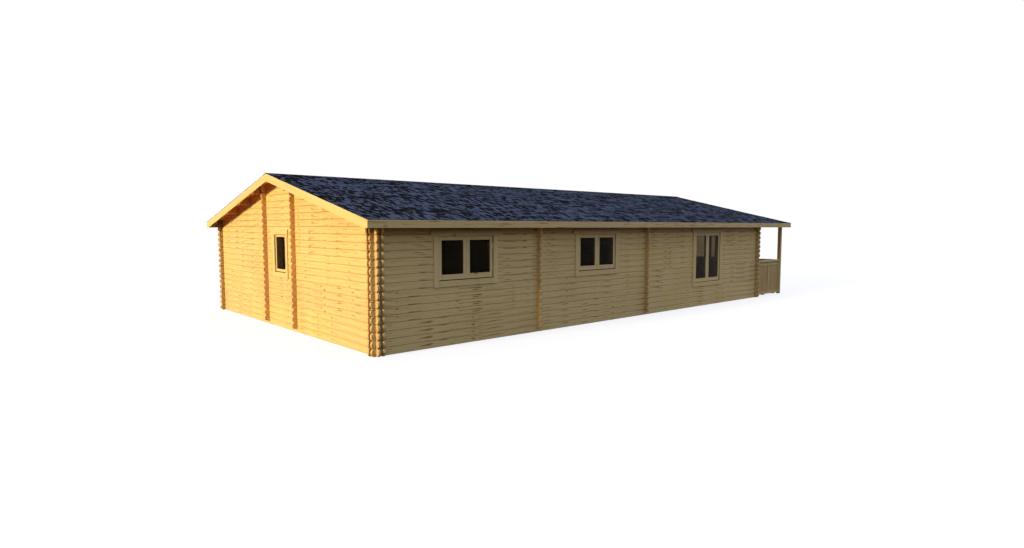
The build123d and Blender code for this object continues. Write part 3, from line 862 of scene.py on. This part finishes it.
def door():
    """The glazed double door under the veranda."""
    bm = bmesh.new()
    window_surround(bm, "front", 0.0, DOOR_CLEAR, FLOOR_TOP, sill_board=False)
    ease(bm, BOARD_EASE)
    screws(bm, "front", 0.0, DOOR_CLEAR, FLOOR_TOP, sill_board=False)
    finished(bm, "front_door_boards", ["front_door_frame"], PLANED)
    half = DOOR_CLEAR / 2 - SIDE_GAP
    for name, start, end in (("left", -half, -LEAF_GAP / 2), ("right", LEAF_GAP / 2, half)):
        bm = bmesh.new()
        leaf(bm, "front", start, end, DOOR_STILE, DOOR_STILE, FLOOR_TOP, DOOR_BOTTOM_RAIL)
        ease(bm, SASH_EASE, 1)
        edge = math.copysign((DOOR_CLEAR - SIDE_GAP) / 2, start + end)
        hinges(bm, "front", edge, (FLOOR_TOP + DOOR_HINGE_INSET, FLOOR_TOP + DOOR_MIDDLE_HINGE,
                                   WINDOW_HEAD - DOOR_HINGE_INSET))
        if name == "right":
            for depth, way in ((-SASH_RECESS, 1), (SASH_BACK, -1)):
                handle(bm, "front", start + DOOR_STILE / 2, depth, way,
                       FLOOR_TOP + DOOR_HANDLE_HEIGHT, DOOR_PLATE, DOOR_LEVER, STEEL_SLOT)
        finished(bm, f"front_door_{name}_bars", [f"front_door_{name}_leaf"],
                 PLANED)


# ---- roof ---------------------------------------------------------------------------------------
def on_slope(sign, down, y, rise):
    """Matrix for a shape on one slope: X runs down it from the ridge, Z stands off it."""
    turn = Matrix.Rotation(sign * PITCH, 4, "Y")
    if sign < 0:
        turn = turn @ Matrix.Rotation(math.pi, 4, "Z")
    return Matrix.Translation((0, 0, underside(0))) @ turn @ Matrix.Translation((down, y, rise))


def slope_board(bm, sign, start, end, y0, y1, low, high, tilt=0.0):
    """Flat board or shingle on a slope, its lower end raised by tilt."""
    angle = math.atan(tilt / (end - start))
    size = Matrix.Diagonal((end - start, y1 - y0, high - low, 1))
    lean = Matrix.Rotation(-angle, 4, "Y")
    centre = on_slope(sign, (start + end) / 2, sign * (y0 + y1) / 2, (low + high) / 2 + tilt / 2)
    bmesh.ops.create_cube(bm, size=1, matrix=centre @ lean @ size)


def slope_end(half_width, high):
    """How far down a slope a layer whose top stands off by high may run inside half_width."""
    return (half_width - high * math.sin(PITCH)) / math.cos(PITCH)


def roof_boards(sign, name):
    """Tongued boards from ridge to eave, with a V between them."""
    bm = bmesh.new()
    node = f"roof_boards_{name}"
    far = slope_end(-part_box("roof_boards_left")[0].x, ROOF_BOARD)
    count = round(2 * BOARD_HALF_LENGTH / ROOF_BOARD_WIDTH)
    width = 2 * BOARD_HALF_LENGTH / count
    for step in range(count):
        y = -BOARD_HALF_LENGTH + step * width
        slope_board(bm, sign, 0.0, far, y, y + width, 0.0, ROOF_BOARD)
    ease(bm, ROOF_BOARD_V, 1)
    finished(bm, f"{node}_laid", [node], [ROOF_PINE[0]])


def shingles(sign, name):
    """Felt underlay and courses of shingles, with random tabs and a second layer on some."""
    bm = bmesh.new()
    base = ROOF_BOARD + UNDERLAY
    far = slope_end(ROOF_HALF_WIDTH, ROOF_BOARD + SHINGLE_LAYERS)
    peak = -ROOF_BOARD * math.tan(PITCH)
    slope_board(bm, sign, peak, far, -ROOF_HALF_LENGTH, ROOF_HALF_LENGTH, ROOF_BOARD, base)
    count = math.ceil(far / SHINGLE_EXPOSURE)
    for course in range(count):
        end = far - course * SHINGLE_EXPOSURE
        start = max(end - SHINGLE_EXPOSURE - SHINGLE_LAP, peak)
        y = -ROOF_HALF_LENGTH
        while y < ROOF_HALF_LENGTH:
            width = random.uniform(*SHINGLE_WIDTHS)
            stop = min(y + width, ROOF_HALF_LENGTH)
            if ROOF_HALF_LENGTH - stop < SHINGLE_WIDTHS[0]:
                stop = ROOF_HALF_LENGTH
            if end - start > SHORTEST_SHINGLE:
                raised = SHINGLE_SHEET if random.random() < DOUBLED else 0.0
                slope_board(bm, sign, start, end - random.uniform(0, RAGGED), y, stop,
                            base, base + SHINGLE_SHEET + raised, SHINGLE_TILT)
            y = stop
    finished(bm, f"shingles_{name}_laid", [f"shingles_{name}"],
             [SHINGLE_FINISH])


def ridge_cap():
    """Overlapping cap shingles bent over the ridge."""
    bm = bmesh.new()
    base = ROOF_BOARD + SHINGLE_LAYERS
    reach = slope_end(-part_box("ridge_cap")[0].x, base + 2 * CAP_SHEET)
    count = math.ceil(2 * ROOF_HALF_LENGTH / CAP_EXPOSURE)
    pace = 2 * ROOF_HALF_LENGTH / count
    for step in range(count):
        y0 = -ROOF_HALF_LENGTH + step * pace
        y1 = min(y0 + pace * CAP_LENGTH, ROOF_HALF_LENGTH)
        low = base - CAP_SUNK + (CAP_STEP if step % 2 else 0.0)
        for sign in (-1, 1):
            span = (y0, y1) if sign > 0 else (-y1, -y0)
            slope_board(bm, sign, -low * math.tan(PITCH), reach - random.uniform(0.0, RAGGED),
                        *span, low, low + CAP_SHEET)
    finished(bm, "ridge_cap_laid", ["ridge_cap"], [SHINGLE_FINISH])


def softened(node, finish, width=TIMBER_EASE):
    """A copy of a plain timber with its edges eased."""
    bm = bmesh.new()
    bm.from_mesh(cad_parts[node].data)
    bmesh.ops.remove_doubles(bm, verts=bm.verts, dist=1e-5)
    bmesh.ops.dissolve_limit(bm, angle_limit=math.radians(1), verts=bm.verts, edges=bm.edges)
    for face in bm.faces:
        face.material_index = FIRST_SLOT
    ease(bm, width)
    finished(bm, f"{node}_planed", [node], [finish])


def roof():
    """Boards, shingles, cap, purlins, and the boards along the eaves and gables."""
    for name, sign in (("left", -1), ("right", 1)):
        roof_boards(sign, name)
        shingles(sign, name)
        softened(f"purlins_{name}", ROOF_PINE[1])
        softened(f"eave_board_{name}", EAVE_PINE)
        for end in ("rear", "front"):
            softened(f"{end}_bargeboard_{name}", RAKE_PINE[sign])
    softened("ridge_purlin", ROOF_PINE[1])
    ridge_cap()


# ---- floor and veranda ------------------------------------------------------------------------
def boarded(bm, low, high, width, gap):
    """Boards along Y, side by side between two corners."""
    count = round((high[X] - low[X]) / (width + gap))
    pace = (high[X] - low[X]) / count
    for step in range(count):
        one, other = Vector(low), Vector(high)
        one.x = low[X] + step * pace + gap / 2
        other.x = one.x + pace - gap
        block(bm, one, other, FIRST_SLOT)


def floors():
    """Floor boards room by room, and the bearers under them."""
    bm = bmesh.new()
    edge = HALF_WIDTH - WALL_DEPTH
    rear_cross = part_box("rear_cross_wall")
    middle_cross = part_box("middle_cross_wall")
    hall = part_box("hall_wall_left")
    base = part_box("floor_boards")[0].z
    back = REAR - WALL_DEPTH
    rooms = [(-edge, hall[0].x, rear_cross[1].y, back),
             (hall[1].x, -hall[1].x, rear_cross[1].y, back),
             (-hall[0].x, edge, rear_cross[1].y, back),
             (-edge, edge, middle_cross[1].y, rear_cross[0].y),
             (-edge, edge, FRONT + WALL_DEPTH, middle_cross[0].y)]
    for x0, x1, y0, y1 in rooms:
        boarded(bm, (x0, y0, base), (x1, y1, FLOOR_TOP), FLOOR_BOARD_WIDTH, 0.0)
    ease(bm, RAIL_EASE, 1)
    finished(bm, "floor_boards_laid", ["floor_boards"], [FLOOR_PINE])
    softened("floor_bearers", PLANED[X])


def railing(node, along):
    """Framed panel of upright boards under a handrail."""
    low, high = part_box(node)
    cross = 1 - along
    start, end = low[along], high[along]
    middle = (low[cross] + high[cross]) / 2
    bottom, top = low.z, high.z
    under = top - HANDRAIL
    panel_top = under - PANEL_DROP
    centre = (start + end) / 2
    bm = bmesh.new()

    def piece(a, b, half_thick, z0, z1, finish=None):
        block(bm, at(along, a, middle - half_thick, z0), at(along, b, middle + half_thick, z1),
              finish)

    half = RAIL_THICKNESS / 2
    centre_post = (centre - RAIL_HEIGHT / 2, centre + RAIL_HEIGHT / 2)
    for a, b in ((start, start + RAIL_HEIGHT), centre_post, (end - RAIL_HEIGHT, end)):
        piece(a, b, half, bottom, under)
    for a, b in ((start + RAIL_HEIGHT, centre_post[0]), (centre_post[1], end - RAIL_HEIGHT)):
        piece(a, b, half, bottom, bottom + RAIL_HEIGHT)
        piece(a, b, half, panel_top - RAIL_HEIGHT, panel_top)
        count = round((b - a) / RAILING_BOARD_WIDTH)
        pace = (b - a) / count
        piece(a, b, RAILING_TONGUE / 2, bottom, under, BOARDING_SLOT)
        for step in range(count):
            board = a + step * pace
            piece(board + RAILING_GROOVE / 2, board + pace - RAILING_GROOVE / 2,
                  RAILING_BOARD / 2, bottom, under, BOARDING_SLOT)
    wide = (high[cross] - low[cross]) / 2
    block(bm, at(along, start, middle - wide, under), at(along, end, middle + wide, top))
    ease(bm, RAIL_EASE, 1)
    finished(bm, f"{node}_boards", [node], [*SHADED_VERANDA_PLANED, SHADED_RAILING_PINE])


def veranda():
    """Posts, beams, deck and railings."""
    softened("veranda_posts", SHADED_VERANDA_PLANED[Z], POST_EASE)
    softened("gable_struts", SHADED_VERANDA_PLANED[Z])
    softened("veranda_front_beam", SHADED_VERANDA_PLANED[X])
    softened("veranda_bearers", SHADED_VERANDA_PLANED[X])
    for name in ("left", "right"):
        softened(f"veranda_side_beam_{name}", SHADED_VERANDA_PLANED[Y])
        railing(f"side_railing_{name}", Y)
        railing(f"front_railing_{name}", X)
    bm = bmesh.new()
    low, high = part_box("veranda_deck")
    back = low.y + POST
    boarded(bm, (low.x, back, low.z), high, DECK_BOARD_WIDTH, DECK_GAP)
    block(bm, (-ENTRANCE, low.y, low.z), (ENTRANCE, back - DECK_GAP, high.z), SECOND_SLOT)
    ease(bm, BOARD_EASE)
    finished(bm, "veranda_deck_boards", ["veranda_deck"],
             [DECK_PINE, SHADED_VERANDA_PLANED[X]])


def panes():
    """The plain panes keep their shape and take the glass. The rear one fits its slim sash."""
    for node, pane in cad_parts.items():
        if node.endswith("_glass") and node != "rear_window_glass":
            pane.data.materials.clear()
            pane.data.materials.append(GLASS)
    bm = bmesh.new()
    half = REAR_CLEAR / 2 - SIDE_GAP - REAR_STILE
    face = -SASH_RECESS - GLASS_SETBACK
    on_wall(bm, "rear", -half, half, face - PANE, face, HIGH_SILL + FOOT_GAP + REAR_BOTTOM_RAIL,
            WINDOW_HEAD - HEAD_GAP - REAR_TOP_RAIL, FIRST_SLOT)
    finished(bm, "rear_window_pane", ["rear_window_glass"], [HALL_GLASS])


# ---- ground, light and camera -------------------------------------------------------------------
GROUND_HALF = 150
SHADOW_NEAR, SHADOW_FAR = 8.0, 24.0         # from the cabin's middle, where the shadow fades
SHADOW_SHARE = 0.20         # how much of it is kept near the cabin
SOIL = 0.05                 # share of the light that the ground throws back at the cabin
SKY = (0.80, 0.91, 1.34)
HORIZON = 0.13              # strength of the light from the level; it grows by 1 to the top
LENS, SENSOR = 21.527, 36.0
CAMERA_PLACE = (-12.981, 12.228, 2.156)
CAMERA_WAY = (0.7439, -0.6639, -0.0770)


def stage_finish():
    """Ground that is white to the eye, keeps a soft shadow near the cabin and lights nothing."""
    finish = Finish("pale_ground", {"Base Color": (1, 1, 1, 1), "Roughness": 1.0,
                                    "Specular IOR Level": 0.0})
    x, y, _ = finish.place()
    near = finish.between(finish.length(x, y), SHADOW_NEAR, SHADOW_FAR, SHADOW_SHARE, 0.0)
    rays = finish.add("LightPath", {}).socket.node.outputs
    seen = [Value(finish, rays[name]) for name in
            ("Is Camera Ray", "Is Glossy Ray", "Is Transmission Ray")]
    shown = finish.add("Math", {0: seen[0] + seen[1] + seen[2], 1: 1.0}, {"operation": "MINIMUM"})
    white = finish.add("Emission", {"Color": (1, 1, 1), "Strength": 1.0})
    soil = finish.add("BsdfDiffuse", {"Color": (SOIL, SOIL, SOIL)})
    pale = finish.add("MixShader", {0: near, 1: white,
                                    2: Value(finish, finish.shader.outputs[0])})
    mixed = finish.add("MixShader", {0: shown, 1: soil, 2: pale})
    output = finish.tree.nodes["Material Output"]
    finish.tree.links.new(mixed.socket, output.inputs["Surface"])
    return finish.material


def sun(name, azimuth, elevation, strength, tint, spread):
    """A soft distant lamp. Azimuth is measured from +Y towards +X."""
    lamp = bpy.data.lights.new(name, "SUN")
    lamp.energy, lamp.color, lamp.angle = strength, tint, math.radians(spread)
    azimuth, elevation = math.radians(azimuth), math.radians(elevation)
    source = Vector((math.sin(azimuth) * math.cos(elevation),
                     math.cos(azimuth) * math.cos(elevation), math.sin(elevation)))
    holder = bpy.data.objects.new(name, lamp)
    holder.rotation_euler = source.to_track_quat("Z", "Y").to_euler()
    bpy.context.scene.collection.objects.link(holder)


def pale_room():
    """World that lights from above, and is white where it is seen, mirrored or shines through."""
    world = bpy.data.worlds.new("pale_room")
    bpy.context.scene.world = world
    world.use_nodes = True
    nodes, links = world.node_tree.nodes, world.node_tree.links
    light = nodes["Background"]
    light.inputs["Color"].default_value = (*SKY, 1)
    way = nodes.new("ShaderNodeTexCoord")
    height = nodes.new("ShaderNodeSeparateXYZ")
    level = nodes.new("ShaderNodeMath")
    level.operation = "MULTIPLY_ADD"
    level.inputs[1].default_value, level.inputs[2].default_value = 1.0, HORIZON
    white = nodes.new("ShaderNodeBackground")
    white.inputs["Color"].default_value = (1, 1, 1, 1)
    rays = nodes.new("ShaderNodeLightPath")
    first = nodes.new("ShaderNodeMath")
    second = nodes.new("ShaderNodeMath")
    second.use_clamp = True
    mixed = nodes.new("ShaderNodeMixShader")
    for source, socket in (
            (way.outputs["Generated"], height.inputs[0]),
            (height.outputs["Z"], level.inputs[0]),
            (level.outputs[0], light.inputs["Strength"]),
            (rays.outputs["Is Camera Ray"], first.inputs[0]),
            (rays.outputs["Is Glossy Ray"], first.inputs[1]),
            (first.outputs[0], second.inputs[0]),
            (rays.outputs["Is Transmission Ray"], second.inputs[1]),
            (second.outputs[0], mixed.inputs[0]),
            (light.outputs[0], mixed.inputs[1]),
            (white.outputs[0], mixed.inputs[2]),
            (mixed.outputs[0], nodes["World Output"].inputs["Surface"])):
        links.new(source, socket)


def setting():
    """Ground, lamps, the pale room around, and the camera."""
    bm = bmesh.new()
    bmesh.ops.create_grid(bm, x_segments=1, y_segments=1, size=GROUND_HALF)
    mesh = bpy.data.meshes.new("ground")
    bm.to_mesh(mesh)
    bm.free()
    mesh.materials.append(stage_finish())
    ground = bpy.data.objects.new("ground", mesh)
    bpy.context.scene.collection.objects.link(ground)

    sun("key", azimuth=3, elevation=17, strength=4.6, tint=(1.0, 0.755, 0.40), spread=9)
    sun("fill", azimuth=172, elevation=32, strength=0.9, tint=(1.0, 0.98, 0.95), spread=40)
    pale_room()

    camera = bpy.data.cameras.new("camera")
    camera.lens, camera.sensor_width = LENS, SENSOR
    camera.clip_end = 500
    holder = bpy.data.objects.new("camera", camera)
    holder.location = CAMERA_PLACE
    holder.rotation_euler = Vector(CAMERA_WAY).to_track_quat("-Z", "Y").to_euler()
    bpy.context.scene.collection.objects.link(holder)
    bpy.context.scene.camera = holder
    bpy.context.scene.view_settings.view_transform = "Standard"


walls()
windows()
door()
roof()
floors()
veranda()
panes()
setting()
